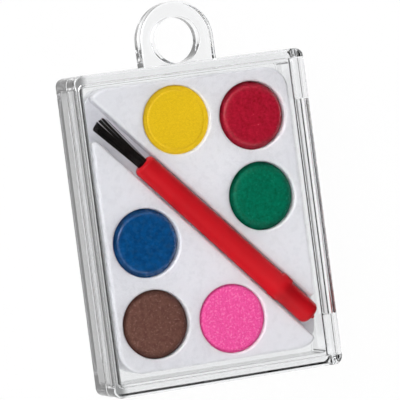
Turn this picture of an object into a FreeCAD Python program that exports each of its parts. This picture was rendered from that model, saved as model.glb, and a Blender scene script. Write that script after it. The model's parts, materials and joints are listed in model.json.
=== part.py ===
"""Hanging paint box: a clear hinged case with a loop, a white pan tray, six paint cakes and a brush.

The case lies on its back. The origin is the centre of the back face, X runs to the hinge side,
Y to the hanging loop and Z out through the lid. All sizes are in millimetres.
"""
import FreeCAD, Part
import math
import os
import re
import Sketcher
from FreeCAD import Placement, Rotation, Vector

# Driving dimensions, one cell each
SIZES = {
    # Case
    "case_width": 51.0,
    "case_length": 67.4,
    "case_depth": 14.0,
    "case_corner": 1.8,
    "case_edge": 0.6,
    "floor_thickness": 1.6,
    "base_wall": 2.6,
    "cavity_corner": 0.6,
    "lip_clearance": 0.15,
    "lip_rise": 1.8,
    "lid_wall": 1.9,
    "lid_panel": 1.8,
    "lid_corner": 1.2,
    "seam_gap": 0.2,
    # Hinge along the right side
    "hinge_drop": 1.9,
    "hinge_rise": 1.9,
    "hinge_clearance": 0.2,
    "sill_clearance": 0.3,
    "lug_length": 8.5,
    "pin_radius": 0.8,
    "pin_clearance": 0.05,
    "pin_recess": 0.2,
    # Hanging loop
    "loop_hole_radius": 4.9,
    "loop_rim": 3.25,
    "loop_web": 0.1,
    "loop_thickness": 4.8,
    "loop_edge": 0.5,
    # Tray
    "tray_gap_left": 0.9,
    "tray_gap_right": 0.3,
    "tray_gap_top": 0.5,
    "tray_gap_bottom": 1.5,
    "tray_corner": 5.0,
    "tray_wall": 1.0,
    "deck_edge": 0.7,
    "channel_tip": 0.9,
    "channel_clearance": 0.07,
    "well_depth": 3.2,
    "well_edge": 0.5,
    "well_gap_across": 2.26,
    "well_gap_along": 2.56,
    "corner_land_side": 1.5,
    "corner_land_end": 2.5,
    "inner_land_end": 1.27,
    "side_land": 1.69,
    "inner_channel_land": 1.65,
    "side_channel_land": 1.94,
    # Paint cakes
    "cake_clearance": 0.12,
    "cake_height": 3.1,
    "shoulder_drop": 1.9,
    "shoulder_width": 0.9,
    # Brush
    "brush_proud": 2.4,
    "brush_gap": 0.1,
    "brush_tail_gap": 0.44,
    "brush_tip_gap": 1.61,
    "lid_gap": 0.5,
    "handle_length": 49.3,
    "handle_radius": 2.62,
    "nose_radius": 2.5,
    "nose_round": 0.9,
    "collar_radius": 2.78,
    "collar_length": 2.8,
    "collar_round": 0.12,
    "tail_length": 8.0,
    "tail_radius": 2.5,
    "tail_round": 1.3,
    "nib_length": 0.7,
    "nib_radius": 0.4,
    "tuft_length": 13.1,
    "tuft_root_radius": 1.25,
    "tuft_tip_radius": 2.2,
    "tuft_tip_round": 1.6,
    "socket_clearance": 0.03,
    "socket_depth": 4.2,
    "anchor_width": 1.5,
    "anchor_thickness": 0.3,
    "anchor_clearance": 0.03,
}

# Places worked out from the driving dimensions
PANEL_Z = "(case_depth - lid_panel)"
HINGE_X = "(case_width / 2 - base_wall / 2)"
HINGE_Z = f"({PANEL_Z} - hinge_drop)"
KNUCKLE = "(base_wall / 2)"
PARTING_Z = f"({HINGE_Z} - hinge_rise)"
RIM_Z = f"({PARTING_Z} + seam_gap)"
LID_INNER_END = "(case_length / 2 - lid_wall)"
LUG_END = f"({LID_INNER_END} - hinge_clearance)"
LUG_START = f"({LUG_END} - lug_length)"
CAVITY_HALF = "(case_width / 2 - base_wall)"
TRAY_WIDTH = "(case_width - 2 * base_wall - tray_gap_left - tray_gap_right)"
TRAY_LENGTH = "(case_length - 2 * base_wall - tray_gap_top - tray_gap_bottom)"
TRAY_X = "((tray_gap_left - tray_gap_right) / 2)"
TRAY_Y = "((tray_gap_bottom - tray_gap_top) / 2)"
DECK_Z = f"({PANEL_Z} - lid_gap - brush_proud)"
WELL_Z = f"({DECK_Z} - well_depth)"
BRUSH_RADIUS = "max(collar_radius; handle_radius; tail_radius)"
CHANNEL_HALF = f"({BRUSH_RADIUS} + channel_clearance)"
CHANNEL_Z = f"({DECK_Z} + brush_proud - 2 * {BRUSH_RADIUS} - brush_gap)"
BRUSH_Z = f"({CHANNEL_Z} + brush_gap + {BRUSH_RADIUS})"
SOCKET_RADIUS = "(tuft_root_radius + socket_clearance)"
NOSE_WALL = f"(nose_radius - {SOCKET_RADIUS})"

# Brush channel, through the tray's centre: it slopes so that the brush just fits between the side walls
END_ROUNDS = "(tail_round + tuft_tip_round)"
BRUSH_LENGTH = f"(handle_length + tuft_length - {END_ROUNDS})"
BRUSH_ENDS = f"(tail_radius + tuft_tip_radius - {END_ROUNDS})"
TAIL_SIDE = f"({CAVITY_HALF} - {TRAY_X} - brush_tail_gap)"
TIP_SIDE = f"({CAVITY_HALF} + {TRAY_X} - brush_tip_gap)"
BRUSH_ROOM = f"({TAIL_SIDE} + {TIP_SIDE} - {END_ROUNDS})"
BRUSH_REACH = f"hypot({BRUSH_LENGTH}; {BRUSH_ENDS})"
CHANNEL_ANGLE = f"(atan({BRUSH_ENDS} / {BRUSH_LENGTH}) + acos({BRUSH_ROOM} / {BRUSH_REACH}))"
ACROSS = f"cos({CHANNEL_ANGLE})"
DOWN = f"sin({CHANNEL_ANGLE})"
TAIL_ASIDE = f"(tail_round + (tail_radius - tail_round) * {DOWN})"
TAIL_REACH = f"(({TAIL_SIDE} - {TAIL_ASIDE}) / {ACROSS} + tail_round)"
TIP_ASIDE = f"(tuft_tip_round + (tuft_tip_radius - tuft_tip_round) * {DOWN})"
TIP_REACH = f"(({TIP_SIDE} - {TIP_ASIDE}) / {ACROSS} + tuft_tip_round)"
NOSE_REACH = f"(handle_length - {TAIL_REACH})"

# Wells, as large as the lands about them leave room for beside the channel
INNER_SPAN_X = f"({TRAY_WIDTH} / 2 - corner_land_side - well_gap_across)"
INNER_SPAN_Y = f"({TRAY_LENGTH} / 2 - inner_land_end)"
INNER_SPAN = f"({INNER_SPAN_X} * {DOWN} + {INNER_SPAN_Y} * {ACROSS} - {CHANNEL_HALF} - inner_channel_land)"
SIDE_SPAN_X = f"({TRAY_WIDTH} / 2 - side_land)"
SIDE_SPAN_Y = f"({TRAY_LENGTH} / 2 - corner_land_end - well_gap_along)"
SIDE_SPAN = f"({SIDE_SPAN_X} * {DOWN} + {SIDE_SPAN_Y} * {ACROSS} - {CHANNEL_HALF} - side_channel_land)"
INNER_FIT = f"({INNER_SPAN} / (1 + 3 * {DOWN} + {ACROSS}))"
SIDE_FIT = f"({SIDE_SPAN} / (1 + {DOWN} + 3 * {ACROSS}))"
WELL_RADIUS = f"min({INNER_FIT}; {SIDE_FIT})"

# Well centres: three on one side of the channel, and the same three turned half round
CORNER_X = f"({TRAY_WIDTH} / 2 - corner_land_side - {WELL_RADIUS})"
CORNER_Y = f"({TRAY_LENGTH} / 2 - corner_land_end - {WELL_RADIUS})"
INNER_X = f"({INNER_SPAN_X} - 3 * {WELL_RADIUS})"
INNER_Y = f"({INNER_SPAN_Y} - {WELL_RADIUS})"
SIDE_X = f"({SIDE_SPAN_X} - {WELL_RADIUS})"
SIDE_Y = f"({SIDE_SPAN_Y} - 3 * {WELL_RADIUS})"
WELLS = {
    "yellow": (f"({TRAY_X} + {INNER_X})", f"({TRAY_Y} + {INNER_Y})"),
    "red": (f"({TRAY_X} + {CORNER_X})", f"({TRAY_Y} + {CORNER_Y})"),
    "green": (f"({TRAY_X} + {SIDE_X})", f"({TRAY_Y} + {SIDE_Y})"),
    "blue": (f"({TRAY_X} - {SIDE_X})", f"({TRAY_Y} - {SIDE_Y})"),
    "brown": (f"({TRAY_X} - {CORNER_X})", f"({TRAY_Y} - {CORNER_Y})"),
    "pink": (f"({TRAY_X} - {INNER_X})", f"({TRAY_Y} - {INNER_Y})"),
}

# How far a cutting tool runs past the face that it opens
OVERRUN = 1.0
# How closely an edge has to lie where it is looked for
CLOSE = 1e-6
QUARTER_TURN = math.pi / 2
# The largest share of a wall that a rounding may take
MOST_OF_WALL = 0.9
# A turn keeps its axis only at an angle other than zero
SEED_ANGLE = 45.0

# Sketch constraints' numbers for the points of a line or arc, and for the axes and the origin on them
START, END, CENTRE = range(1, 4)
X_AXIS, Y_AXIS = range(-1, -3, -1)
ORIGIN = X_AXIS

doc = FreeCAD.newDocument("paint_box")
sheet = doc.addObject("Spreadsheet::Sheet", "Sizes")
for row, (alias, number) in enumerate(SIZES.items(), start=1):
    sheet.set(f"A{row}", alias)
    sheet.set(f"B{row}", str(number))
    sheet.setAlias(f"B{row}", alias)
doc.recompute()
nodes = []


def formula(text):
    """Turn a formula in size names into one that reads the sheet's cells."""
    return re.sub(r"[a-z_]+", lambda word: f"Sizes.{word[0]}" if word[0] in SIZES else word[0], text)


def bind(thing, path, text):
    """Tie one property of an object to a formula."""
    thing.setExpression(path, formula(text))


def place(thing, x="0", y="0", z="0"):
    """Tie the three coordinates of an object's base point to formulas."""
    bind(thing, "Placement.Base.x", x)
    bind(thing, "Placement.Base.y", y)
    bind(thing, "Placement.Base.z", z)


def node(thing, label):
    """Name a finished sub-part, which names its file."""
    thing.Label = label
    nodes.append(thing)
    return thing


def box(name, x, y, z):
    """A block between the limits given as pairs of formulas."""
    block = doc.addObject("Part::Box", name)
    for side, (low, high) in (("Length", x), ("Width", y), ("Height", z)):
        bind(block, side, f"({high}) - ({low})")
    place(block, x[0], y[0], z[0])
    return block


def upright_cylinder(name, x, y, radius, bottom, top):
    """A round block standing on the XY plane's direction."""
    cylinder = doc.addObject("Part::Cylinder", name)
    bind(cylinder, "Radius", radius)
    bind(cylinder, "Height", f"({top}) - ({bottom})")
    place(cylinder, x, y, bottom)
    return cylinder


def hinge_cylinder(name, radius, start, end):
    """A round block on the hinge axis between two Y places."""
    cylinder = doc.addObject("Part::Cylinder", name)
    cylinder.Placement = Placement(Vector(), Rotation(Vector(1, 0, 0), -90))
    bind(cylinder, "Radius", radius)
    bind(cylinder, "Height", f"({end}) - ({start})")
    place(cylinder, HINGE_X, start, HINGE_Z)
    return cylinder


def join(name, parts):
    """Fuse several shapes into one."""
    fused = doc.addObject("Part::MultiFuse", name)
    fused.Shapes = parts
    fused.Refine = True
    return fused


def cut(name, base, tool):
    """Take one shape out of another."""
    result = doc.addObject("Part::Cut", name)
    result.Base = base
    result.Tool = tool
    result.Refine = True
    return result


def slab(name, width, length, corner, bottom, top, x="0", y="0"):
    """A rounded rectangle, drawn flat and extruded upwards."""
    return raise_up(name, outline(name, width, length, corner, bottom, x, y), f"({top}) - ({bottom})")


def outline(name, width, length, corner, height, x, y):
    """A sketch of a rounded rectangle, about the Z axis or set off from it."""
    sketch = doc.addObject("Sketcher::SketchObject", f"{name}_outline")
    draw_rounded_rectangle(sketch, width, length, corner)
    place(sketch, x, y, height)
    return sketch


def raise_up(name, flat, rise):
    """A flat shape extruded upwards into solids."""
    block = doc.addObject("Part::Extrusion", name)
    block.Base = flat
    block.DirMode = "Normal"
    block.Solid = True
    bind(block, "LengthFwd", rise)
    return block


def draw_rounded_rectangle(sketch, width, length, corner):
    """Four lines and four tangent arcs, centred on the sketch's origin."""
    x = sheet.case_width / 2
    y = sheet.case_length / 2
    r = sheet.case_corner
    line = [
        sketch.addGeometry(Part.LineSegment(Vector(r - x, -y), Vector(x - r, -y))),
        sketch.addGeometry(Part.LineSegment(Vector(x, r - y), Vector(x, y - r))),
        sketch.addGeometry(Part.LineSegment(Vector(x - r, y), Vector(r - x, y))),
        sketch.addGeometry(Part.LineSegment(Vector(-x, y - r), Vector(-x, r - y))),
    ]
    arc = []
    for quarter, (cx, cy) in enumerate(((x - r, r - y), (x - r, y - r), (r - x, y - r), (r - x, r - y))):
        circle = Part.Circle(Vector(cx, cy), Vector(0, 0, 1), r)
        start = (quarter - 1) * QUARTER_TURN
        arc.append(sketch.addGeometry(Part.ArcOfCircle(circle, start, start + QUARTER_TURN)))
    for side in range(4):
        sketch.addConstraint(Sketcher.Constraint("Tangent", line[side], END, arc[side], START))
        sketch.addConstraint(Sketcher.Constraint("Tangent", arc[side], END, line[(side + 1) % 4], START))
    sketch.addConstraint(Sketcher.Constraint("Horizontal", line[0]))
    sketch.addConstraint(Sketcher.Constraint("Vertical", line[1]))
    for other in arc[1:]:
        sketch.addConstraint(Sketcher.Constraint("Equal", arc[0], other))
    sketch.addConstraint(Sketcher.Constraint("Symmetric", arc[0], CENTRE, arc[2], CENTRE, ORIGIN, START))
    sketch.addConstraint(Sketcher.Constraint("Symmetric", arc[1], CENTRE, arc[3], CENTRE, ORIGIN, START))
    across = sketch.addConstraint(Sketcher.Constraint("DistanceX", line[3], START, line[1], START, 2 * x))
    along = sketch.addConstraint(Sketcher.Constraint("DistanceY", line[0], START, line[2], START, 2 * y))
    rounding = sketch.addConstraint(Sketcher.Constraint("Radius", arc[0], r))
    bind(sketch, f"Constraints[{across}]", width)
    bind(sketch, f"Constraints[{along}]", length)
    bind(sketch, f"Constraints[{rounding}]", corner)


def round_edges(name, base, radius, chosen):
    """Round the edges of a shape that the test picks."""
    doc.recompute()
    rounded = doc.addObject("Part::Fillet", name)
    rounded.Base = base
    picked = [index for index, edge in enumerate(base.Shape.Edges, start=1) if chosen(edge)]
    rounded.Edges = [(index, radius, radius) for index in picked]
    return rounded


def level(edge, height):
    """Whether an edge lies flat at a height."""
    return abs(edge.BoundBox.ZMin - height) < CLOSE and abs(edge.BoundBox.ZMax - height) < CLOSE


def make_base():
    """Back half of the case: floor, walls, inner lip, hinge sill, two lugs and their moulded pins."""
    lip_top = f"({PARTING_Z} + lip_rise)"
    shell = slab("base_shell", "case_width", "case_length", "case_corner", "0", PARTING_Z)
    shell = round_edges("base_shell_rounded", shell, sheet.case_edge, lambda edge: level(edge, 0))
    lip_inset = "2 * (lid_wall + lip_clearance)"
    lip = slab(
        "base_lip",
        f"case_width - {lip_inset}",
        f"case_length - {lip_inset}",
        "lid_corner - lip_clearance",
        "floor_thickness",
        lip_top,
    )
    lid_swing_room = box(
        "lid_swing_room",
        (CAVITY_HALF, f"case_width / 2 + {OVERRUN}"),
        ("-case_length / 2", "case_length / 2"),
        (PARTING_Z, f"{lip_top} + {OVERRUN}"),
    )
    hinge_sill = box(
        "hinge_sill",
        (CAVITY_HALF, HINGE_X),
        (f"-{LUG_END}", LUG_END),
        ("floor_thickness", f"{HINGE_Z} - {KNUCKLE} - sill_clearance"),
    )
    solids = [shell, cut("base_lip_open", lip, lid_swing_room), hinge_sill]
    for end, sign in (("top", 1), ("bottom", -1)):
        lug_span = sorted_span(sign, LUG_START, LUG_END)
        pin_span = sorted_span(sign, LUG_START, "case_length / 2 - pin_recess")
        solids.append(
            box(
                f"lug_{end}",
                (f"{HINGE_X} - {KNUCKLE}", f"{HINGE_X} + {KNUCKLE}"),
                lug_span,
                ("floor_thickness", HINGE_Z),
            )
        )
        solids.append(hinge_cylinder(f"knuckle_{end}", KNUCKLE, *lug_span))
        solids.append(hinge_cylinder(f"pin_{end}", "pin_radius", *pin_span))
    cavity = slab(
        "base_cavity",
        "case_width - 2 * base_wall",
        "case_length - 2 * base_wall",
        "cavity_corner",
        "floor_thickness",
        f"{lip_top} + {OVERRUN}",
    )
    node(cut("base", join("base_solids", solids), cavity), "case_base")


def sorted_span(sign, near, far):
    """Limits in Y of something between two distances from the middle, at one end of the case."""
    if sign > 0:
        return near, far
    return f"-({far})", f"-({near})"


def make_lid():
    """Front half of the case, open over the lugs and rounded about the hinge axis so that it can swing."""
    block = slab("lid_block", "case_width", "case_length", "case_corner", RIM_Z, "case_depth")
    front = sheet.case_depth
    block = round_edges("lid_block_rounded", block, sheet.case_edge, lambda edge: level(edge, front))
    below_rim = f"{RIM_Z} - {OVERRUN}"
    past_side = f"case_width / 2 + {OVERRUN}"
    past_end = f"case_length / 2 + {OVERRUN}"
    tools = [
        slab(
            "lid_cavity",
            "case_width - 2 * lid_wall",
            "case_length - 2 * lid_wall",
            "lid_corner",
            below_rim,
            PANEL_Z,
        )
    ]
    wall_room = box(
        "wall_room",
        (CAVITY_HALF, past_side),
        (f"-{LUG_START}", LUG_START),
        (below_rim, HINGE_Z),
    )
    wall_round = hinge_cylinder("wall_round", KNUCKLE, f"-{LUG_START}", LUG_START)
    tools.append(cut("wall_swing_room", wall_room, wall_round))
    for end, sign in (("top", 1), ("bottom", -1)):
        tools.append(
            box(
                f"lug_window_{end}",
                (f"{CAVITY_HALF} - hinge_clearance", past_side),
                sorted_span(sign, f"{LUG_START} - hinge_clearance", LID_INNER_END),
                (below_rim, PANEL_Z),
            )
        )
        wall_span = sorted_span(sign, LUG_END, past_end)
        corner = box(f"corner_room_{end}", (HINGE_X, past_side), wall_span, (below_rim, HINGE_Z))
        corner_round = hinge_cylinder(f"corner_round_{end}", f"{HINGE_Z} - {RIM_Z}", *wall_span)
        tools.append(cut(f"corner_swing_room_{end}", corner, corner_round))
        tools.append(hinge_cylinder(f"pin_hole_{end}", "pin_radius + pin_clearance", *wall_span))
    node(cut("lid", block, join("lid_tools", tools)), "case_lid")


def lay_along_channel(thing, back, aside, height):
    """Turn a piece's X axis along the brush channel, its base point behind and beside the tray's centre."""
    thing.Placement = Placement(Vector(), Rotation(Vector(0, 0, -1), SEED_ANGLE))
    bind(thing, "Placement.Rotation.Angle", CHANNEL_ANGLE)
    x = f"{TRAY_X} - ({back}) * {ACROSS} - ({aside}) * {DOWN}"
    y = f"{TRAY_Y} + ({back}) * {DOWN} - ({aside}) * {ACROSS}"
    place(thing, x, y, height)


def channel_strip(kind, name, half_width, height):
    """A flat or solid block along the brush channel, long enough to pass both sides of the tray."""
    strip = doc.addObject(kind, name)
    reach = f"({TRAY_WIDTH} + {TRAY_LENGTH})"
    bind(strip, "Length", reach)
    bind(strip, "Width", f"2 * {half_width}")
    lay_along_channel(strip, f"{reach} / 2", half_width, height)
    return strip


def make_deck():
    """The tray's two islands beside the brush channel, with the points at its mouths rounded off."""
    whole = doc.addObject("Part::Face", "deck_whole")
    whole.Sources = [outline("deck", TRAY_WIDTH, TRAY_LENGTH, "tray_corner", CHANNEL_Z, TRAY_X, TRAY_Y)]
    whole.FaceMakerClass = "Part::FaceMakerBullseye"
    islands = cut("deck_islands", whole, channel_strip("Part::Plane", "channel_gap", CHANNEL_HALF, CHANNEL_Z))
    for name, growth in (("deck_shrunk", "-channel_tip"), ("deck_grown", "channel_tip")):
        offset = doc.addObject("Part::Offset2D", name)
        offset.Source = islands
        bind(offset, "Value", growth)
        islands = offset
    raised = raise_up("deck_raised", islands, f"{DECK_Z} - {CHANNEL_Z}")
    doc.recompute()
    top = raised.Shape.BoundBox.ZMax
    return round_edges("deck_rounded", raised, sheet.deck_edge, lambda edge: level(edge, top))


def make_tray():
    """Thin white moulding: a deck with six cups and a brush channel, on a skirt that stands on the floor."""
    past_deck = f"({DECK_Z} + {OVERRUN})"
    foot = slab(
        "tray_foot",
        TRAY_WIDTH,
        TRAY_LENGTH,
        "tray_corner",
        "floor_thickness",
        CHANNEL_Z,
        TRAY_X,
        TRAY_Y,
    )
    block = join("tray_block", [foot, make_deck()])

    under_deck = f"({DECK_Z} - tray_wall)"
    room = slab(
        "tray_room",
        f"{TRAY_WIDTH} - 2 * tray_wall",
        f"{TRAY_LENGTH} - 2 * tray_wall",
        "tray_corner - tray_wall",
        f"floor_thickness - {OVERRUN}",
        under_deck,
        TRAY_X,
        TRAY_Y,
    )
    walls_base = f"({CHANNEL_Z} - tray_wall)"
    walls = channel_strip("Part::Box", "channel_walls", f"({CHANNEL_HALF} + tray_wall)", walls_base)
    bind(walls, "Height", f"{past_deck} - {walls_base}")
    kept = [walls]
    wells = []
    for colour, (x, y) in WELLS.items():
        cup_radius = f"{WELL_RADIUS} + tray_wall"
        kept.append(upright_cylinder(f"cup_{colour}", x, y, cup_radius, f"{WELL_Z} - tray_wall", past_deck))
        wells.append(upright_cylinder(f"well_{colour}", x, y, WELL_RADIUS, WELL_Z, past_deck))
    hollow = cut("tray_hollow", room, join("tray_kept", kept))
    shell = cut("tray_shell", block, hollow)
    welled = cut("tray_welled", shell, join("tray_wells", wells))
    doc.recompute()
    deck = welled.Shape.BoundBox.ZMax
    rim = wells[0].Radius.Value
    rimmed = round_edges("tray", welled, sheet.well_edge, lambda edge: is_well_rim(edge, deck, rim))
    node(rimmed, "paint_tray")


def is_well_rim(edge, deck, radius):
    """Whether an edge is the circle of a well at the deck."""
    is_circle = isinstance(edge.Curve, Part.Circle)
    return is_circle and level(edge, deck) and abs(edge.Curve.Radius - radius) < CLOSE


def new_body(name, plane_role):
    """A body with one empty sketch on one of its own planes."""
    body = doc.addObject("PartDesign::Body", name)
    sketch = body.newObject("Sketcher::SketchObject", f"{name}_sketch")
    plane = next(feature for feature in body.Origin.OriginFeatures if feature.Role == plane_role)
    sketch.AttachmentSupport = (plane, [""])
    sketch.MapMode = "FlatFace"
    return body, sketch


def draw_profile(sketch, corners):
    """A closed outline of straight lines, each corner tied to a pair of formulas."""
    count = len(corners)
    seeds = [Vector(1 + number, 1 + number * number) for number in range(count)]
    for number in range(count):
        sketch.addGeometry(Part.LineSegment(seeds[number], seeds[(number + 1) % count]))
    for number in range(count):
        sketch.addConstraint(Sketcher.Constraint("Coincident", number, END, (number + 1) % count, START))
    for number, (x, y) in enumerate(corners):
        for kind, axis, text in (("DistanceX", Y_AXIS, x), ("DistanceY", X_AXIS, y)):
            if text == "0":
                sketch.addConstraint(Sketcher.Constraint("PointOnObject", number, START, axis))
            else:
                distance = Sketcher.Constraint(kind, ORIGIN, START, number, START, 1.0)
                bind(sketch, f"Constraints[{sketch.addConstraint(distance)}]", text)


def revolve(body, sketch, axis):
    """Turn a body's sketch fully round one of the sketch's axes."""
    turned = body.newObject("PartDesign::Revolution", f"{body.Name}_turned")
    turned.Profile = sketch
    turned.ReferenceAxis = (sketch, [axis])
    turned.Angle = 360
    sketch.Visibility = False
    doc.recompute()
    return turned


def round_body(body, name, radius, chosen):
    """Round the edges of a body's last feature that the test picks."""
    doc.recompute()
    base = body.Tip
    picked = [f"Edge{index}" for index, edge in enumerate(base.Shape.Edges, start=1) if chosen(edge)]
    rounded = body.newObject("PartDesign::Fillet", name)
    rounded.Base = (base, picked)
    bind(rounded, "Radius", radius)
    doc.recompute()


def ring_at(edge, place_along, radius):
    """Whether an edge is the circle of a turned piece at one place along its X axis."""
    if not isinstance(edge.Curve, Part.Circle):
        return False
    return abs(edge.Curve.Center.x - place_along) < CLOSE and abs(edge.Curve.Radius - radius) < CLOSE


def make_loop():
    """Flat hanging loop on the outside of the base's end wall."""
    body, sketch = new_body("loop", "XY_Plane")
    root_y = "case_length / 2"
    hole_y = "case_length / 2 + loop_web + loop_hole_radius"
    outer = sheet.loop_hole_radius + sheet.loop_rim
    low = sheet.case_length / 2
    high = low + sheet.loop_web + sheet.loop_hole_radius
    root = sketch.addGeometry(Part.LineSegment(Vector(-outer, low), Vector(outer, low)))
    right = sketch.addGeometry(Part.LineSegment(Vector(outer, low), Vector(outer, high)))
    crown_circle = Part.Circle(Vector(0, high), Vector(0, 0, 1), outer)
    crown = sketch.addGeometry(Part.ArcOfCircle(crown_circle, 0, 2 * QUARTER_TURN))
    left = sketch.addGeometry(Part.LineSegment(Vector(-outer, high), Vector(-outer, low)))
    hole = sketch.addGeometry(Part.Circle(Vector(0, high), Vector(0, 0, 1), sheet.loop_hole_radius))
    for kind, first, second in (
        ("Coincident", root, right),
        ("Tangent", right, crown),
        ("Tangent", crown, left),
        ("Coincident", left, root),
    ):
        sketch.addConstraint(Sketcher.Constraint(kind, first, END, second, START))
    sketch.addConstraint(Sketcher.Constraint("Horizontal", root))
    sketch.addConstraint(Sketcher.Constraint("Vertical", right))
    sketch.addConstraint(Sketcher.Constraint("Vertical", left))
    sketch.addConstraint(Sketcher.Constraint("PointOnObject", crown, CENTRE, Y_AXIS))
    sketch.addConstraint(Sketcher.Constraint("Coincident", hole, CENTRE, crown, CENTRE))
    for constraint, text in (
        (Sketcher.Constraint("DistanceY", ORIGIN, START, root, START, low), root_y),
        (Sketcher.Constraint("DistanceY", ORIGIN, START, crown, CENTRE, high), hole_y),
        (Sketcher.Constraint("Radius", crown, outer), "loop_hole_radius + loop_rim"),
        (Sketcher.Constraint("Radius", hole, sheet.loop_hole_radius), "loop_hole_radius"),
    ):
        bind(sketch, f"Constraints[{sketch.addConstraint(constraint)}]", text)
    pad = body.newObject("PartDesign::Pad", "loop_pad")
    pad.Profile = sketch
    bind(pad, "Length", "loop_thickness")
    round_body(body, "loop_edges", "loop_edge", lambda edge: is_loop_rim(edge, low, outer))
    place(body, z=f"{PARTING_Z} - loop_thickness")
    node(body, "hanging_loop")


def is_loop_rim(edge, root_y, outer):
    """Whether an edge runs round the outside of the loop, away from the wall and the hole."""
    size = edge.BoundBox
    flat = size.ZLength < CLOSE
    on_root = size.YMax < root_y + CLOSE
    in_hole = size.XLength < 2 * outer - CLOSE and isinstance(edge.Curve, Part.Circle)
    return flat and not on_root and not in_hole


def make_cakes():
    """Six round paint cakes with sloping shoulders, standing in their wells."""
    radius = f"({WELL_RADIUS} - cake_clearance)"
    for colour, (x, y) in WELLS.items():
        body, sketch = new_body(f"paint_{colour}", "XZ_Plane")
        corners = [
            ("0", "0"),
            (radius, "0"),
            (radius, "cake_height - shoulder_drop"),
            (f"{radius} - shoulder_width", "cake_height"),
            ("0", "cake_height"),
        ]
        draw_profile(sketch, corners)
        revolve(body, sketch, "V_Axis")
        place(body, x, y, WELL_Z)
        node(body, f"cake_{colour}")


def make_handle():
    """Turned red handle: socketed nose, slight taper, collar and blunt tail with a moulding nib."""
    body, sketch = new_body("handle", "XY_Plane")
    nib_end = "(handle_length + nib_length)"
    collar_end = "(handle_length - tail_length)"
    collar_start = f"({collar_end} - collar_length)"
    corners = [
        ("socket_depth", "0"),
        (nib_end, "0"),
        (nib_end, "nib_radius"),
        ("handle_length", "nib_radius"),
        ("handle_length", "tail_radius"),
        (collar_end, "tail_radius"),
        (collar_end, "collar_radius"),
        (collar_start, "collar_radius"),
        (collar_start, "handle_radius"),
        ("0", "nose_radius"),
        ("0", SOCKET_RADIUS),
        ("socket_depth", SOCKET_RADIUS),
    ]
    draw_profile(sketch, corners)
    revolve(body, sketch, "H_Axis")
    length = sheet.handle_length
    nose_limit = f"min(nose_round; {MOST_OF_WALL} * {NOSE_WALL})"
    round_body(body, "nose_rounding", nose_limit, lambda edge: ring_at(edge, 0, sheet.nose_radius))
    round_body(body, "tail_rounding", "tail_round", lambda edge: ring_at(edge, length, sheet.tail_radius))
    round_body(body, "collar_rounding", "collar_round", is_collar_edge)
    lay_along_channel(body, NOSE_REACH, "0", BRUSH_Z)
    node(body, "brush_handle")


def is_collar_edge(edge):
    """Whether an edge is one of the collar's two outer rings."""
    return isinstance(edge.Curve, Part.Circle) and abs(edge.Curve.Radius - sheet.collar_radius) < CLOSE


def make_tuft():
    """Bristles, fanning out from the socket to a rounded tip, with a slot for the wire that anchors them."""
    body, sketch = new_body("tuft", "XY_Plane")
    root_end = "(tuft_length + socket_depth - socket_clearance)"
    corners = [
        ("0", "0"),
        (root_end, "0"),
        (root_end, "tuft_root_radius"),
        ("tuft_length", "tuft_root_radius"),
        ("0", "tuft_tip_radius"),
    ]
    draw_profile(sketch, corners)
    revolve(body, sketch, "H_Axis")
    round_body(body, "tip_rounding", "tuft_tip_round", lambda edge: ring_at(edge, 0, sheet.tuft_tip_radius))
    slot_sketch = body.newObject("Sketcher::SketchObject", "anchor_slot_sketch")
    slot_sketch.AttachmentSupport = sketch.AttachmentSupport
    slot_sketch.MapMode = "FlatFace"
    slot_near = f"({root_end} - anchor_width - 2 * anchor_clearance)"
    slot_side = f"(tuft_root_radius + {OVERRUN})"
    draw_profile(
        slot_sketch,
        [
            (slot_near, f"-{slot_side}"),
            (f"{root_end} + {OVERRUN}", f"-{slot_side}"),
            (f"{root_end} + {OVERRUN}", slot_side),
            (slot_near, slot_side),
        ],
    )
    slot = body.newObject("PartDesign::Pocket", "anchor_slot")
    slot.Profile = slot_sketch
    slot.Midplane = True
    bind(slot, "Length", "anchor_thickness + 2 * anchor_clearance")
    lay_along_channel(body, TIP_REACH, "0", BRUSH_Z)
    node(body, "bristle_tuft")


def make_anchor():
    """Flat wire across the bottom of the socket, which holds the folded bristles."""
    half_span = f"({SOCKET_RADIUS} - anchor_clearance)"
    plate = doc.addObject("Part::Box", "anchor")
    bind(plate, "Length", "anchor_width")
    bind(plate, "Width", f"2 * {half_span}")
    bind(plate, "Height", "anchor_thickness")
    near = f"({NOSE_REACH} - socket_depth + socket_clearance + anchor_clearance + anchor_width)"
    lay_along_channel(plate, near, half_span, f"{BRUSH_Z} - anchor_thickness / 2")
    node(plate, "bristle_anchor")


def check_document():
    """Stop unless every object is sound and every sub-part is one valid solid."""
    for thing in doc.Objects:
        if "Invalid" in thing.State or "Error" in thing.State:
            raise RuntimeError(f"{thing.Label}: {thing.State}")
    for thing in nodes:
        shape = thing.Shape
        if shape.isNull() or not shape.isValid() or len(shape.Solids) != 1:
            raise RuntimeError(f"{thing.Label} is not one valid solid")


make_base()
make_loop()
make_lid()
make_tray()
make_cakes()
make_handle()
make_tuft()
make_anchor()
doc.recompute()
check_document()
os.makedirs("parts", exist_ok=True)
for thing in nodes:
    thing.Shape.exportStep(f"parts/{thing.Label}.step")
    print(f"{thing.Label}: {thing.Shape.Volume:.1f} mm3")
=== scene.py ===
"""Look of the hanging paint box: clear case, white tray, six paint cakes and a brush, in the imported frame."""
import json
import math
import random

import bmesh
import bpy
from mathutils import Matrix, Vector, noise


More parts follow.
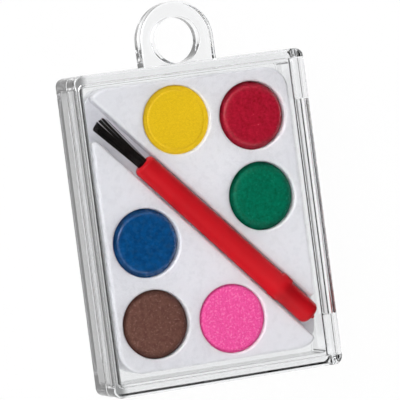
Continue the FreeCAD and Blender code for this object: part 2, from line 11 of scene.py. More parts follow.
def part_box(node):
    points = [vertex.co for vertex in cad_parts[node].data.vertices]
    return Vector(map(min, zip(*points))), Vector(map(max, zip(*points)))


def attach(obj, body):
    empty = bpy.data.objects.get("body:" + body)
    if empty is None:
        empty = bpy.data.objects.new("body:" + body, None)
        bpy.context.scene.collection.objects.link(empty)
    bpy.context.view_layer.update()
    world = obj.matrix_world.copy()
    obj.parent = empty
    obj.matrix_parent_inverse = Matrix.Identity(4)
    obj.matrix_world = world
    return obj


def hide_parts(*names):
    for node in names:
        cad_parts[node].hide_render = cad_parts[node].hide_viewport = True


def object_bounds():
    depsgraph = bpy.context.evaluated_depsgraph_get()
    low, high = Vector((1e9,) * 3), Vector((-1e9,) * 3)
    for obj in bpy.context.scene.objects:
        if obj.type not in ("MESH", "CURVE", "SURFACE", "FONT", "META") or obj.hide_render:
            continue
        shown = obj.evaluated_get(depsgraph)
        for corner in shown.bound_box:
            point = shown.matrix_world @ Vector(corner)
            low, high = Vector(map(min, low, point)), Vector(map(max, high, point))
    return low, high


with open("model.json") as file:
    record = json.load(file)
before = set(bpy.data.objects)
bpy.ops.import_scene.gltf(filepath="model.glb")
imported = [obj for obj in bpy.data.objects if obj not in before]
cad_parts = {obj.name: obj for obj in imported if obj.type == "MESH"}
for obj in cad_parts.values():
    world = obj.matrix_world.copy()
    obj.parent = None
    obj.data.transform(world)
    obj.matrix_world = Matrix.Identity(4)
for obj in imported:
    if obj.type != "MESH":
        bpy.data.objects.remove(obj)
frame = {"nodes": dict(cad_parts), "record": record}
cad_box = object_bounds()

MM = 0.001

# Camera, fitted to a frame of 400 by 400 pixels
CAMERA_YAW = math.radians(18.0)
CAMERA_PITCH = math.radians(2.17)
CAMERA_ROLL = math.radians(-7.49)
CAMERA_DISTANCE = 710 * MM
CAMERA_TO_LEFT = 2.07 * MM
CAMERA_TO_TOP = 4.58 * MM
FOCAL_PIXELS = 3400
FRAME_PIXELS = 400
SENSOR_WIDTH = 36.0
CLIP_START = 10 * MM

# Clear case: rounding of its edges, the stretch about the hinge pins that stays sharp, and the angles up to
# which faces are merged, from which edges are rounded and from which they shade as sharp
CASE_BEVEL = 0.2 * MM
BEVEL_SEGMENTS = 3
LUG_START = 22.5 * MM
HINGE_ROOM = 2.4 * MM
LOOP_OVERLAP = 1.0 * MM
WELD = 0.001 * MM
MERGE_ANGLE = math.radians(0.5)
BEVEL_ANGLE = math.radians(40)
CASE_SHARP_ANGLE = math.radians(35)
FLATS_WEIGHT = 100

# Paint cakes: their mesh and relief, and how their specks and gloss vary
CAKE_GROWTH = 0.08 * MM
CAKE_SIDES = 128
CAKE_RINGS = 64
GROOVE_WIDTH = 0.2 * MM
LUMPS_PER_RADIUS = 3.2
GRAINS_PER_RADIUS = 26
CAKE_SEED_STEP = 11.0
GRAIN_SEED_STEP = 7
CAKE_SHARP_ANGLE = math.radians(40)
SPECK_EDGE = 0.10
SPECK_SHARE = 0.8
GLOSS_SPREAD = 0.08

# Brush, along its own axis from the nose
NOSE_RADIUS = 2.5 * MM
NOSE_ROUND = 0.9 * MM
SOCKET_RADIUS = 1.28 * MM
SOCKET_DEPTH = 4.2 * MM
HANDLE_RADIUS = 2.62 * MM
COLLAR_RADIUS = 2.78 * MM
COLLAR_LENGTH = 2.8 * MM
COLLAR_STEP = 0.3 * MM
RIDGE_HEIGHT = 0.22 * MM
RIDGE_TURN = math.radians(32)
RIDGE_SHARPNESS = 6
TAIL_LENGTH = 8.0 * MM
TAIL_ROUND = 1.3 * MM
TAIL_RADIUS = 2.5 * MM
NIB_LENGTH = 0.7 * MM
NIB_RADIUS = 0.4 * MM
NIB_ROUND = 0.15 * MM
HANDLE_SIDES = 96
NOSE_STEPS = 10
TAIL_STEPS = 12
NIB_STEPS = 4
HANDLE_SHARP_ANGLE = math.radians(50)

# Bristles, in clumps that lie side by side across the tuft: places across it at the root and at the tip, how
# far the tips fall short and how deep they spread, all in millimetres as the scatter of the tips is, and how
# late a clump parts from its neighbour
HAIR_RADIUS = 0.075 * MM
HAIR_STEPS = 10
HAIR_SIDES = 5
HAIR_DEPTH = 0.5 * MM
HAIR_TAPER = 0.55
HAIR_SEED = 5
TIP_SCATTER = 0.03
LENGTH_SCATTER = 0.22
TUFT_ROOT_RADIUS = 1.2 * MM
TUFT_TURN = math.radians(12)
CLUMPS = (
    {
        "hairs": 340, "root": (-1.18, 0.15), "tip": (-1.70, 0.12),
        "short": (0.50, 0.0), "depth": 1.1, "parting": 1.2,
    },
    {
        "hairs": 100, "root": (0.15, 0.60), "tip": (0.42, 0.95),
        "short": (0.10, 0.20), "depth": 0.8, "parting": 2.5,
    },
    {
        "hairs": 80, "root": (0.60, 1.00), "tip": (1.12, 1.58),
        "short": (0.25, 0.40), "depth": 0.6, "parting": 1.8,
    },
    {
        "hairs": 4, "root": (1.05, 1.10), "tip": (1.78, 1.84),
        "short": (0.80, 0.85), "depth": 0.2, "parting": 1.0,
    },
)

# Studio: brightness of the surroundings, by direction, with spreads in degrees, and the white sheet that the
# box lies on, with its reach to either side, the painted shade under the case's left wall (a darker strip
# of floor that stands in for the case's shadow there) and the bounces of light below which the floor is
# plain white
SKY = 1.07
HORIZON = 0.1
TENT_RISE = (0.0, 0.5)
SOFTBOX = 4.7
SOFTBOX_TOWARDS = (-0.70, 0.45, 0.55)
SOFTBOX_SPREAD = (10, 32)
FILL = 0.65
FILL_TOWARDS = (0.0, -0.95, 0.2)
FILL_SPREAD = (15, 40)
FLAG_SHADE = 1.0
FLAG_TOWARDS = (0.31, -0.04, 0.95)
FLAG_SPREAD = (15, 27)
SIDE_SHADE = 0.95
SIDE_TOWARDS = (0.9, -0.1, 0.4)
SIDE_SPREAD = (25, 60)
FLOOR_SIZE = 4.0
FLOOR_DROP = 0.3 * MM
FLOOR_GLOW = 0.97
SHEET_CENTRE = 2.0 * MM
SHEET_REACH = (30 * MM, 45 * MM)
TABLE_GLOW = 0.03
PAINTED_SHADE_SPAN = (-21.5 * MM, -19.5 * MM)
PAINTED_SHADE_DEPTH = 0.65
FEW_WALLS = 2.5


def linked(obj):
    """Put a new object into the scene."""
    bpy.context.scene.collection.objects.link(obj)
    return obj


def mesh_object(name, vertices, faces, smooth=True):
    """A mesh object from lists of points and faces."""
    mesh = bpy.data.meshes.new(name)
    mesh.from_pydata(vertices, [], faces)
    mesh.validate()
    if smooth:
        mesh.shade_smooth()
    else:
        mesh.shade_flat()
    return linked(bpy.data.objects.new(name, mesh))


def record_joint(name):
    """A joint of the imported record."""
    return next(joint for joint in frame["record"]["behaviour"]["joints"] if joint["name"] == name)


def finish_piece(obj, body, slot, material, *nodes):
    """Give a piece its material, its body and the nodes that it stands for. Its slot is not used."""
    obj.data.materials.clear()
    obj.data.materials.append(material)
    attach(obj, body)
    if nodes:
        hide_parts(*nodes)
    return obj


class Nodes:
    """A node tree that grows node by node."""

    def __init__(self, tree):
        self.tree = tree

    def add(self, kind, **values):
        """A node, with its inputs set by name."""
        made = self.tree.nodes.new(kind)
        for key, value in values.items():
            made.inputs[key.replace("_", " ")].default_value = value
        return made

    def link(self, output, target):
        """Wire an output to an input."""
        self.tree.links.new(output, target)

    def math(self, operation, first, second):
        """One step of arithmetic on outputs or numbers."""
        made = self.add("ShaderNodeMath")
        made.operation = operation
        for socket, value in zip(made.inputs, (first, second)):
            if isinstance(value, float):
                socket.default_value = value
            else:
                self.link(value, socket)
        return made.outputs["Value"]

    def smooth_range(self, source, start, end, low, high):
        """A value that eases from low to high while the source goes from start to end."""
        made = self.add("ShaderNodeMapRange", From_Min=start, From_Max=end, To_Min=low, To_Max=high)
        made.interpolation_type = "SMOOTHSTEP"
        self.link(source, made.inputs["Value"])
        return made.outputs["Result"]


class Shader(Nodes):
    """A material whose nodes are added and wired one by one."""

    def __init__(self, name):
        self.material = bpy.data.materials.new(name)
        self.material.use_nodes = True
        super().__init__(self.material.node_tree)
        self.surface = self.tree.nodes["Principled BSDF"]
        self.place = self.add("ShaderNodeTexCoord").outputs["Object"]

    def set(self, **values):
        """Values of the surface's own sockets."""
        for key, value in values.items():
            self.surface.inputs[key.replace("_", " ")].default_value = value

    def noise(self, scale, detail=3.0, roughness=0.5, stretch=None):
        """Noise in the piece's own space, with the scale in spots per metre."""
        made = self.add("ShaderNodeTexNoise", Scale=scale, Detail=detail, Roughness=roughness)
        place = self.place
        if stretch:
            mapping = self.add("ShaderNodeMapping", Scale=stretch)
            self.link(place, mapping.inputs["Vector"])
            place = mapping.outputs["Vector"]
        self.link(place, made.inputs["Vector"])
        return made.outputs["Fac"]

    def ramp(self, source, *stops):
        """A colour ramp over a value, from pairs of a place and a colour or grey."""
        made = self.add("ShaderNodeValToRGB")
        elements = made.color_ramp.elements
        for number, (place, colour) in enumerate(stops):
            stop = elements[number] if number < 2 else elements.new(place)
            stop.position = place
            stop.color = (*colour, 1.0) if isinstance(colour, tuple) else (colour, colour, colour, 1.0)
        self.link(source, made.inputs["Fac"])
        return made.outputs["Color"]

    def blend(self, share, first, second):
        """The first colour where the share is 0, and the second where it is 1."""
        made = self.add("ShaderNodeMixRGB", Color2=(*second, 1.0))
        self.link(share, made.inputs["Fac"])
        self.link(first, made.inputs["Color1"])
        return made.outputs["Color"]

    def bump(self, height, strength, distance):
        """Relief on the surface, on top of any relief that it has."""
        made = self.add("ShaderNodeBump", Strength=strength, Distance=distance)
        self.link(height, made.inputs["Height"])
        before = self.surface.inputs["Normal"]
        if before.is_linked:
            self.link(before.links[0].from_socket, made.inputs["Normal"])
        self.link(made.outputs["Normal"], before)


def clear_plastic():
    """Crystal polystyrene with a trace of haze."""
    shader = Shader("clear_polystyrene")
    shader.set(Base_Color=(0.985, 0.99, 0.995, 1.0), Transmission_Weight=1.0, IOR=1.585)
    haze = shader.ramp(shader.noise(scale=120.0, detail=2.0), (0.4, 0.0), (0.8, 0.004))
    shader.link(haze, shader.surface.inputs["Roughness"])
    shader.bump(shader.noise(scale=60.0, detail=0.0), strength=0.02, distance=0.1 * MM)
    return shader.material


def white_plastic():
    """White moulded polystyrene with a soft gloss and faint flow marks."""
    shader = Shader("white_polystyrene")
    tone = shader.ramp(shader.noise(scale=60.0), (0.3, (0.77, 0.77, 0.81)), (0.7, (0.80, 0.80, 0.835)))
    shader.link(tone, shader.surface.inputs["Base Color"])
    gloss = shader.ramp(shader.noise(scale=900.0, detail=2.0), (0.3, 0.24), (0.7, 0.34))
    shader.link(gloss, shader.surface.inputs["Roughness"])
    shader.set(Subsurface_Weight=1.0, Subsurface_Radius=(1.0, 1.0, 1.0), Subsurface_Scale=2.0 * MM)
    shader.bump(shader.noise(scale=700.0, detail=2.0), strength=0.05, distance=0.05 * MM)
    return shader.material


def red_plastic():
    """Red moulded plastic of the brush handle."""
    shader = Shader("red_plastic")
    flow = shader.noise(scale=120.0)
    tone = shader.ramp(flow, (0.3, (0.53, 0.005, 0.011)), (0.7, (0.59, 0.008, 0.015)))
    shader.link(tone, shader.surface.inputs["Base Color"])
    gloss = shader.ramp(shader.noise(scale=700.0), (0.3, 0.3), (0.7, 0.42))
    shader.link(gloss, shader.surface.inputs["Roughness"])
    shader.set(Specular_IOR_Level=0.14)
    shader.bump(shader.noise(scale=420.0), strength=0.10, distance=0.05 * MM)
    return shader.material


def black_nylon():
    """Black filaments, a little lighter along some of their length."""
    shader = Shader("black_nylon")
    streaks = shader.noise(scale=1500.0)
    tone = shader.ramp(streaks, (0.35, (0.006, 0.005, 0.005)), (0.75, (0.022, 0.018, 0.017)))
    shader.link(tone, shader.surface.inputs["Base Color"])
    shader.set(Roughness=0.4, Specular_IOR_Level=0.1)
    return shader.material


def flat_wire():
    """Drawn steel wire."""
    shader = Shader("steel_wire")
    shader.set(Metallic=1.0, Base_Color=(0.6, 0.6, 0.6, 1.0))
    drawn = shader.noise(scale=3000.0, stretch=(1.0, 8.0, 8.0))
    gloss = shader.ramp(drawn, (0.3, 0.25), (0.7, 0.45))
    shader.link(gloss, shader.surface.inputs["Roughness"])
    return shader.material


def paint(name, style):
    """Dried watercolour: mottled and speckled colour, and a surface from glazed to grainy."""
    shader = Shader(f"paint_{name}")
    mottle = shader.noise(scale=style["mottle"], detail=5.0, roughness=0.6)
    tone = shader.ramp(mottle, (0.3, style["deep"]), (0.72, style["light"]))
    spots = shader.noise(scale=style["spots"], detail=1.0)
    share = shader.smooth_range(spots, style["rarity"], style["rarity"] + SPECK_EDGE, 0.0, SPECK_SHARE)
    tone = shader.blend(share, tone, style["speck"])
    shader.link(tone, shader.surface.inputs["Base Color"])
    rough = style["roughness"]
    wear = shader.noise(scale=900.0)
    gloss = shader.ramp(wear, (0.3, rough - GLOSS_SPREAD), (0.7, rough + GLOSS_SPREAD))
    shader.link(gloss, shader.surface.inputs["Roughness"])
    shader.set(Specular_IOR_Level=style["shine"], Coat_Weight=style["coat"], Coat_Roughness=0.12)
    grain = shader.noise(scale=2600.0, detail=4.0, roughness=0.65)
    shader.bump(grain, strength=style["bump"], distance=0.12 * MM)
    return shader.material


def node_copy(name, node):
    """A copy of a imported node's mesh, with its doubled points welded and its flat faces merged."""
    mesh = frame["nodes"][node].data.copy()
    mesh.name = name
    work = bmesh.new()
    work.from_mesh(mesh)
    bmesh.ops.remove_doubles(work, verts=work.verts, dist=WELD)
    bmesh.ops.dissolve_limit(work, angle_limit=MERGE_ANGLE, verts=work.verts, edges=work.edges)
    work.to_mesh(mesh)
    work.free()
    return linked(bpy.data.objects.new(name, mesh))


def applied(obj):
    """Bake an object's modifiers into its mesh."""
    bpy.context.view_layer.update()
    shown = obj.evaluated_get(bpy.context.evaluated_depsgraph_get())
    mesh = bpy.data.meshes.new_from_object(shown)
    obj.modifiers.clear()
    obj.data = mesh
    return obj


def stays_sharp(point):
    """Whether a point lies about the hinge pins, too small to round, or on an end face of the case."""
    axis = Vector(record_joint("lid_hinge")["pos_m"])
    at_pins = abs(point.y) > LUG_START and math.hypot(point.x - axis.x, point.z - axis.z) < HINGE_ROOM
    return at_pins or abs(abs(point.y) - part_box("hanging_loop")[0].y) < WELD


def mark_edges(obj):
    """Mark the edges of a moulding that get rounded."""
    work = bmesh.new()
    work.from_mesh(obj.data)
    weight = work.edges.layers.float.new("bevel_weight_edge")
    for edge in work.edges:
        middle = (edge.verts[0].co + edge.verts[1].co) / 2
        if edge.is_manifold and edge.calc_face_angle() > BEVEL_ANGLE and not stays_sharp(middle):
            edge[weight] = 1.0
    work.to_mesh(obj.data)
    work.free()


def soften_edges(obj):
    """Round a moulding's sharp edges a little, and smooth its shading but for its flat faces."""
    mark_edges(obj)
    bevel = obj.modifiers.new("edges", "BEVEL")
    bevel.width = CASE_BEVEL
    bevel.segments = BEVEL_SEGMENTS
    bevel.limit_method = "WEIGHT"
    bevel.use_clamp_overlap = False
    applied(obj)
    obj.data.shade_smooth()
    obj.data.set_sharp_from_angle(angle=CASE_SHARP_ANGLE)
    flats = obj.modifiers.new("flats", "WEIGHTED_NORMAL")
    flats.weight = FLATS_WEIGHT
    flats.keep_sharp = True
    return applied(obj)


def make_case(clear):
    """The clear base with its loop as one moulding, and the clear lid."""
    base = node_copy("clear_base", "case_base")
    loop = node_copy("loop_to_join", "hanging_loop")
    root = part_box("hanging_loop")[0].y
    for vertex in loop.data.vertices:
        if vertex.co.y < root + WELD:
            vertex.co.y -= LOOP_OVERLAP
    union = base.modifiers.new("loop", "BOOLEAN")
    union.operation = "UNION"
    union.solver = "EXACT"
    union.object = loop
    applied(base)
    bpy.data.objects.remove(loop)
    finish_piece(soften_edges(base), "case", "clear_case", clear, "case_base", "hanging_loop")
    lid = node_copy("clear_lid", "case_lid")
    finish_piece(soften_edges(lid), "lid", "clear_case", clear, "case_lid")


def bumps(x, y, per_radius, seed):
    """Smooth unevenness from 0 to 1, with so many bumps to a cake's radius."""
    return 0.5 + 0.5 * noise.noise(Vector((per_radius * x, per_radius * y, seed)))


def cake_drop(r, phi, style, radius, seed):
    """How far a cake's face lies below its top, at a share r of its radius."""
    x = r * math.cos(phi)
    y = r * math.sin(phi)
    past = r * radius - (radius - style["shoulder"])
    slope = style["drop"] / style["shoulder"]
    drop = style["sunk"] + slope * (past + math.hypot(past, style["round"])) / 2
    drop += style["groove"] * math.exp(-(past / GROOVE_WIDTH) ** 2)
    drop += style["dish"] * (1 - r * r)
    drop += style["lumps"] * bumps(x, y, LUMPS_PER_RADIUS, seed)
    drop += style["grain"] * bumps(x, y, GRAINS_PER_RADIUS, seed + GRAIN_SEED_STEP)
    return drop


def make_cake(colour, style, seed):
    """A round cake of dried paint with a sloping shoulder, standing where its solid does."""
    low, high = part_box(f"cake_{colour}")
    centre = (low + high) / 2
    radius = (high.x - low.x) / 2 + CAKE_GROWTH
    vertices = [(centre.x, centre.y, high.z - cake_drop(0.0, 0.0, style, radius, seed))]
    for ring in range(1, CAKE_RINGS + 1):
        share = ring / CAKE_RINGS
        for side in range(CAKE_SIDES):
            phi = 2 * math.pi * side / CAKE_SIDES
            x = centre.x + radius * share * math.cos(phi)
            y = centre.y + radius * share * math.sin(phi)
            vertices.append((x, y, high.z - cake_drop(share, phi, style, radius, seed)))
    for x, y, _ in vertices[-CAKE_SIDES:]:
        vertices.append((x, y, low.z))
    faces = [(0, 1 + side, 1 + (side + 1) % CAKE_SIDES) for side in range(CAKE_SIDES)]
    for ring in range(CAKE_RINGS):
        for side in range(CAKE_SIDES):
            inner = 1 + ring * CAKE_SIDES
            outer = inner + CAKE_SIDES
            after = (side + 1) % CAKE_SIDES
            faces.append((inner + side, outer + side, outer + after, inner + after))
    foot = 1 + CAKE_RINGS * CAKE_SIDES
    faces.append(tuple(foot + side for side in reversed(range(CAKE_SIDES))))
    cake = mesh_object(f"paint_{colour}", vertices, faces)
    cake.data.set_sharp_from_angle(angle=CAKE_SHARP_ANGLE)
    return cake


# Colours and surface of each cake, with the sizes of its mottle and spots as noise scales
CAKES = {
    "yellow": {
        "deep": (0.74, 0.465, 0.007), "light": (0.90, 0.61, 0.017), "mottle": 2400.0,
        "speck": (0.90, 0.68, 0.06), "spots": 1500.0, "rarity": 0.72,
        "roughness": 0.42, "bump": 0.16, "shine": 0.15, "coat": 0.1,
        "sunk": 0.45 * MM, "shoulder": 0.95 * MM, "drop": 0.30 * MM, "round": 0.2 * MM, "groove": 0.12 * MM,
        "dish": 0.0, "lumps": 0.06 * MM, "grain": 0.004 * MM,
    },
    "red": {
        "deep": (0.29, 0.003, 0.013), "light": (0.53, 0.010, 0.040), "mottle": 1700.0,
        "speck": (0.70, 0.16, 0.20), "spots": 1700.0, "rarity": 0.75,
        "roughness": 0.36, "bump": 0.22, "shine": 0.2, "coat": 0.3,
        "sunk": 0.0, "shoulder": 0.95 * MM, "drop": 1.75 * MM, "round": 0.45 * MM, "groove": 0.0,
        "dish": 0.05 * MM, "lumps": 0.10 * MM, "grain": 0.006 * MM,
    },
    "green": {
        "deep": (0.000, 0.102, 0.050), "light": (0.001, 0.192, 0.106), "mottle": 1700.0,
        "speck": (0.01, 0.22, 0.13), "spots": 1600.0, "rarity": 0.68,
        "roughness": 0.48, "bump": 0.22, "shine": 0.06, "coat": 0.1,
        "sunk": 0.05 * MM, "shoulder": 1.0 * MM, "drop": 1.7 * MM, "round": 0.6 * MM, "groove": 0.0,
        "dish": 0.0, "lumps": 0.10 * MM, "grain": 0.010 * MM,
    },
    "blue": {
        "deep": (0.001, 0.043, 0.145), "light": (0.006, 0.095, 0.30), "mottle": 800.0,
        "speck": (0.01, 0.12, 0.33), "spots": 900.0, "rarity": 0.74,
        "roughness": 0.26, "bump": 0.08, "shine": 0.15, "coat": 0.6,
        "sunk": 0.05 * MM, "shoulder": 0.95 * MM, "drop": 1.6 * MM, "round": 0.35 * MM, "groove": 0.0,
        "dish": 0.20 * MM, "lumps": 0.10 * MM, "grain": 0.004 * MM,
    },
    "brown": {
        "deep": (0.112, 0.046, 0.034), "light": (0.182, 0.082, 0.062), "mottle": 1100.0,
        "speck": (0.23, 0.12, 0.095), "spots": 2400.0, "rarity": 0.60,
        "roughness": 0.6, "bump": 0.45, "shine": 0.10, "coat": 0.0,
        "sunk": 0.05 * MM, "shoulder": 1.0 * MM, "drop": 1.7 * MM, "round": 0.35 * MM, "groove": 0.0,
        "dish": 0.0, "lumps": 0.10 * MM, "grain": 0.03 * MM,
    },
    "pink": {
        "deep": (0.84, 0.065, 0.30), "light": (0.97, 0.125, 0.42), "mottle": 2000.0,
        "speck": (0.98, 0.22, 0.50), "spots": 2400.0, "rarity": 0.56,
        "roughness": 0.55, "bump": 0.45, "shine": 0.10, "coat": 0.0,
        "sunk": 0.25 * MM, "shoulder": 0.6 * MM, "drop": 0.8 * MM, "round": 0.25 * MM, "groove": 0.0,
        "dish": 0.0, "lumps": 0.08 * MM, "grain": 0.03 * MM,
    },
}


def make_cakes():
    """The six cakes, each with its own surface."""
    for number, (colour, style) in enumerate(CAKES.items()):
        cake = make_cake(colour, style, CAKE_SEED_STEP * number)
        finish_piece(cake, "case", f"paint_{colour}", paint(colour, style), f"cake_{colour}")


class BrushAxis:
    """The line through the tray's centre that the brush lies on, and places along and about it."""

    def __init__(self):
        self.along = Vector(record_joint("brush_slide")["axis"]).normalized()
        self.up = Vector((0, 0, 1))
        self.aside = self.up.cross(self.along)
        tray = sum(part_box("paint_tray"), Vector()) / 2
        handle = sum(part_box("brush_handle"), Vector()) / 2
        self.centre = Vector((tray.x, tray.y, handle.z))
        self.nose, nib_end = self.span("brush_handle")
        self.tail = nib_end - NIB_LENGTH
        self.tip = self.span("bristle_tuft")[0]

    def span(self, node):
        """First and last place of a node along the line."""
        places = [(v.co - self.centre).dot(self.along) for v in frame["nodes"][node].data.vertices]
        return min(places), max(places)

    def point(self, place, aside, up):
        """The point at a place along the line, so far aside and above it."""
        return self.centre + self.along * place + self.aside * aside + self.up * up


def arc(centre, radius, start, end, steps):
    """Points of an arc in a turned piece's profile, as pairs of place and radius, with angles in degrees."""
    turn = [math.radians(start + (end - start) * step / steps) for step in range(steps + 1)]
    return [(centre[0] + radius * math.cos(a), centre[1] + radius * math.sin(a)) for a in turn]


def handle_profile(length):
    """Outline of the handle from the bottom of its socket over the nose and collar to the end of its nib."""
    collar_end = length - TAIL_LENGTH
    collar_start = collar_end - COLLAR_LENGTH
    nib_end = length + NIB_LENGTH
    points = [(SOCKET_DEPTH, SOCKET_RADIUS), (0.0, SOCKET_RADIUS)]
    points += arc((NOSE_ROUND, NOSE_RADIUS - NOSE_ROUND), NOSE_ROUND, 180, 90, NOSE_STEPS)
    points += [(collar_start, HANDLE_RADIUS), (collar_start + COLLAR_STEP, COLLAR_RADIUS)]
    points += [(collar_end - COLLAR_STEP, COLLAR_RADIUS), (collar_end, TAIL_RADIUS)]
    points += arc((length - TAIL_ROUND, TAIL_RADIUS - TAIL_ROUND), TAIL_ROUND, 90, 0, TAIL_STEPS)
    points += [(length, NIB_RADIUS)]
    points += arc((nib_end - NIB_ROUND, NIB_RADIUS - NIB_ROUND), NIB_ROUND, 90, 0, NIB_STEPS)
    return points


def make_handle(axis):
    """The red handle, turned except for its collar, which stands out most on one side."""
    profile = handle_profile(axis.tail - axis.nose)
    vertices = []
    faces = []
    for place, radius in profile:
        raised = max(0.0, radius - HANDLE_RADIUS) / (COLLAR_RADIUS - HANDLE_RADIUS)
        for side in range(HANDLE_SIDES):
            phi = 2 * math.pi * side / HANDLE_SIDES
            ridge = max(0.0, math.cos(phi - RIDGE_TURN)) ** RIDGE_SHARPNESS
            reach = radius + raised * RIDGE_HEIGHT * ridge
            vertices.append(axis.point(axis.nose + place, reach * math.cos(phi), reach * math.sin(phi)))
    for ring in range(len(profile) - 1):
        for side in range(HANDLE_SIDES):
            a = ring * HANDLE_SIDES
            b = a + HANDLE_SIDES
            after = (side + 1) % HANDLE_SIDES
            faces.append((a + side, a + after, b + after, b + side))
    last = (len(profile) - 1) * HANDLE_SIDES
    faces.append(tuple(reversed(range(HANDLE_SIDES))))
    faces.append(tuple(last + side for side in range(HANDLE_SIDES)))
    handle = mesh_object("handle", vertices, faces)
    handle.data.set_sharp_from_angle(angle=HANDLE_SHARP_ANGLE)
    return handle


def between(pair, share):
    """A place between two that are given in millimetres."""
    return (pair[0] + (pair[1] - pair[0]) * share) * MM


def hair_path(axis, rng, clump):
    """Points along one filament of a clump, from inside the socket to its tip."""
    share = rng.random()
    root = between(clump["root"], share)
    tip = between(clump["tip"], share) + rng.gauss(0, TIP_SCATTER) * MM
    root_depth = rng.uniform(-1, 1) * math.sqrt(TUFT_ROOT_RADIUS ** 2 - root ** 2)
    tip_depth = rng.uniform(-1, 1) * clump["depth"] * MM
    fall_short = between(clump["short"], share) + abs(rng.gauss(0, LENGTH_SCATTER)) * MM
    length = axis.nose - axis.tip - fall_short
    points = []
    for step in range(HAIR_STEPS):
        t = step / (HAIR_STEPS - 1)
        across = root + (tip - root) * t ** clump["parting"]
        deep = root_depth + (tip_depth - root_depth) * t
        aside = across * math.cos(TUFT_TURN) - deep * math.sin(TUFT_TURN)
        up = across * math.sin(TUFT_TURN) + deep * math.cos(TUFT_TURN)
        points.append(axis.point(axis.nose + HAIR_DEPTH - (length + HAIR_DEPTH) * t, aside, up))
    return points


def add_hair(axis, path, vertices, faces):
    """A tapering filament along a path."""
    start = len(vertices)
    for step, point in enumerate(path):
        radius = HAIR_RADIUS * (1.0 - HAIR_TAPER * step / (HAIR_STEPS - 1))
        for side in range(HAIR_SIDES):
            phi = 2 * math.pi * side / HAIR_SIDES
            vertices.append(point + (axis.aside * math.cos(phi) + axis.up * math.sin(phi)) * radius)
    for step in range(HAIR_STEPS - 1):
        for side in range(HAIR_SIDES):
            a = start + step * HAIR_SIDES
            b = a + HAIR_SIDES
            after = (side + 1) % HAIR_SIDES
            faces.append((a + side, a + after, b + after, b + side))
    last = start + (HAIR_STEPS - 1) * HAIR_SIDES
    faces.append(tuple(start + side for side in reversed(range(HAIR_SIDES))))
    faces.append(tuple(last + side for side in range(HAIR_SIDES)))


def make_hairs(axis):
    """The bristles, clump by clump."""
    rng = random.Random(HAIR_SEED)
    vertices = []
    faces = []
    for clump in CLUMPS:
        for _ in range(clump["hairs"]):
            add_hair(axis, hair_path(axis, rng, clump), vertices, faces)
    return mesh_object("bristles", vertices, faces)


def make_brush():
    """Handle and bristles on the brush's own line."""
    axis = BrushAxis()
    finish_piece(make_handle(axis), "brush", "handle_red", red_plastic(), "brush_handle")
    finish_piece(make_hairs(axis), "brush", "bristle_black", black_nylon(), "bristle_tuft")


def dress_node(node, material):
    """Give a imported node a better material."""
    for slot in frame["nodes"][node].material_slots:
        slot.material = material


def make_camera():
    """The camera, set where the photograph was taken from."""
    back = Vector((
        -math.sin(CAMERA_YAW) * math.cos(CAMERA_PITCH),
        math.sin(CAMERA_PITCH),
        math.cos(CAMERA_YAW) * math.cos(CAMERA_PITCH),
    ))
    level_right = Vector((0, 1, 0)).cross(back).normalized()
    level_up = back.cross(level_right)
    right = level_right * math.cos(CAMERA_ROLL) + level_up * math.sin(CAMERA_ROLL)
    up = level_up * math.cos(CAMERA_ROLL) - level_right * math.sin(CAMERA_ROLL)
    front = Vector((0, 0, cad_box[1].z))
    data = bpy.data.cameras.new("camera")
    data.sensor_width = SENSOR_WIDTH
    data.lens = SENSOR_WIDTH * FOCAL_PIXELS / FRAME_PIXELS
    data.clip_start = CLIP_START
    camera = linked(bpy.data.objects.new("camera", data))
    place = front - right * CAMERA_TO_LEFT + up * CAMERA_TO_TOP + back * CAMERA_DISTANCE
    turn = Matrix((right, up, back)).transposed().to_4x4()
    camera.matrix_world = Matrix.Translation(place) @ turn
    bpy.context.scene.camera = camera


def sky_patch(nodes, direction, towards, spread, strength):
    """A round patch of the surroundings, at its strength within the first angle of its spread and 0 beyond
    the second."""
    cosine = nodes.add("ShaderNodeVectorMath")
    cosine.operation = "DOT_PRODUCT"
    nodes.link(direction, cosine.inputs[0])
    cosine.inputs[1].default_value = Vector(towards).normalized()
    inner, outer = (math.cos(math.radians(angle)) for angle in spread)
    return nodes.smooth_range(cosine.outputs["Value"], outer, inner, 0.0, strength)


def make_world():
    """Studio surroundings: a pale tent with a softbox at the upper left, a fill from below, a dark flag where
    the lid mirrors and a dark right side."""
    world = bpy.data.worlds.new("studio")
    world.use_nodes = True
    nodes = Nodes(world.node_tree)
    direction = nodes.add("ShaderNodeTexCoord").outputs["Generated"]
    split = nodes.add("ShaderNodeSeparateXYZ")
    nodes.link(direction, split.inputs["Vector"])
    tent = nodes.smooth_range(split.outputs["Z"], *TENT_RISE, HORIZON, SKY)
    softbox = sky_patch(nodes, direction, SOFTBOX_TOWARDS, SOFTBOX_SPREAD, SOFTBOX)
    fill = sky_patch(nodes, direction, FILL_TOWARDS, FILL_SPREAD, FILL)
    flag = sky_patch(nodes, direction, FLAG_TOWARDS, FLAG_SPREAD, FLAG_SHADE)
    side = sky_patch(nodes, direction, SIDE_TOWARDS, SIDE_SPREAD, SIDE_SHADE)
    light = nodes.math("ADD", nodes.math("ADD", tent, softbox), fill)
    for dark in (flag, side):
        light = nodes.math("MULTIPLY", light, nodes.math("SUBTRACT", 1.0, dark))
    seen = nodes.add("ShaderNodeLightPath").outputs["Is Camera Ray"]
    unseen = nodes.math("MULTIPLY", light, nodes.math("SUBTRACT", 1.0, seen))
    strength = nodes.math("ADD", unseen, seen)
    sky = world.node_tree.nodes["Background"]
    sky.inputs["Color"].default_value = (1.0, 1.0, 1.0, 1.0)
    nodes.link(strength, sky.inputs["Strength"])
    bpy.context.scene.world = world


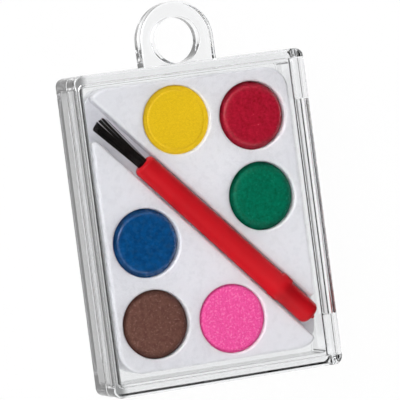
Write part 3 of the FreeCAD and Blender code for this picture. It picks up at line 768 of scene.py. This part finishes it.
def make_floor():
    """A pale floor that shows white but keeps a soft shadow. Through more than one wall of the case it shows
    as a white sheet on a dark table, with painted shade, a darker strip, under the case's left wall."""
    half = FLOOR_SIZE / 2
    corners = [(x * half, y * half, -FLOOR_DROP) for x, y in ((-1, -1), (1, -1), (1, 1), (-1, 1))]
    floor = mesh_object("floor", corners, [(0, 1, 2, 3)], smooth=False)
    shader = Shader("floor")
    shader.set(Base_Color=(0.9, 0.9, 0.9, 1.0), Roughness=0.9)
    path = shader.add("ShaderNodeLightPath")
    seen = path.outputs["Is Camera Ray"]
    for kind in ("Is Glossy Ray", "Is Transmission Ray"):
        seen = shader.math("MAXIMUM", seen, path.outputs[kind])
    split = shader.add("ShaderNodeSeparateXYZ")
    shader.link(shader.place, split.inputs["Vector"])
    aside = shader.math("ABSOLUTE", shader.math("SUBTRACT", split.outputs["X"], SHEET_CENTRE), 0.0)
    sheet = shader.smooth_range(aside, *SHEET_REACH, 1.0, TABLE_GLOW)
    # Painted shade: the floor is darker under the case's left wall, standing in for the case's shadow there
    shade = shader.smooth_range(split.outputs["X"], *PAINTED_SHADE_SPAN, 1.0 - PAINTED_SHADE_DEPTH, 1.0)
    few_walls = shader.math("LESS_THAN", path.outputs["Ray Depth"], FEW_WALLS)
    strength = shader.math("MAXIMUM", shader.math("MULTIPLY", sheet, shade), few_walls)
    glow = shader.add("ShaderNodeEmission", Color=(1.0, 1.0, 1.0, 1.0))
    shader.link(strength, glow.inputs["Strength"])
    mix = shader.add("ShaderNodeMixShader")
    shader.link(shader.math("MULTIPLY", seen, FLOOR_GLOW), mix.inputs["Fac"])
    shader.link(shader.surface.outputs["BSDF"], mix.inputs[1])
    shader.link(glow.outputs["Emission"], mix.inputs[2])
    shader.link(mix.outputs["Shader"], shader.tree.nodes["Material Output"].inputs["Surface"])
    floor.data.materials.append(shader.material)


make_camera()
make_world()
make_floor()
make_case(clear_plastic())
dress_node("paint_tray", white_plastic())
dress_node("bristle_anchor", flat_wire())
make_cakes()
make_brush()
bpy.context.scene.view_settings.view_transform = "Standard"
# Light that comes in through the clear lid keeps its full strength when it isn't blurred
bpy.context.scene.cycles.blur_glossy = 0.0
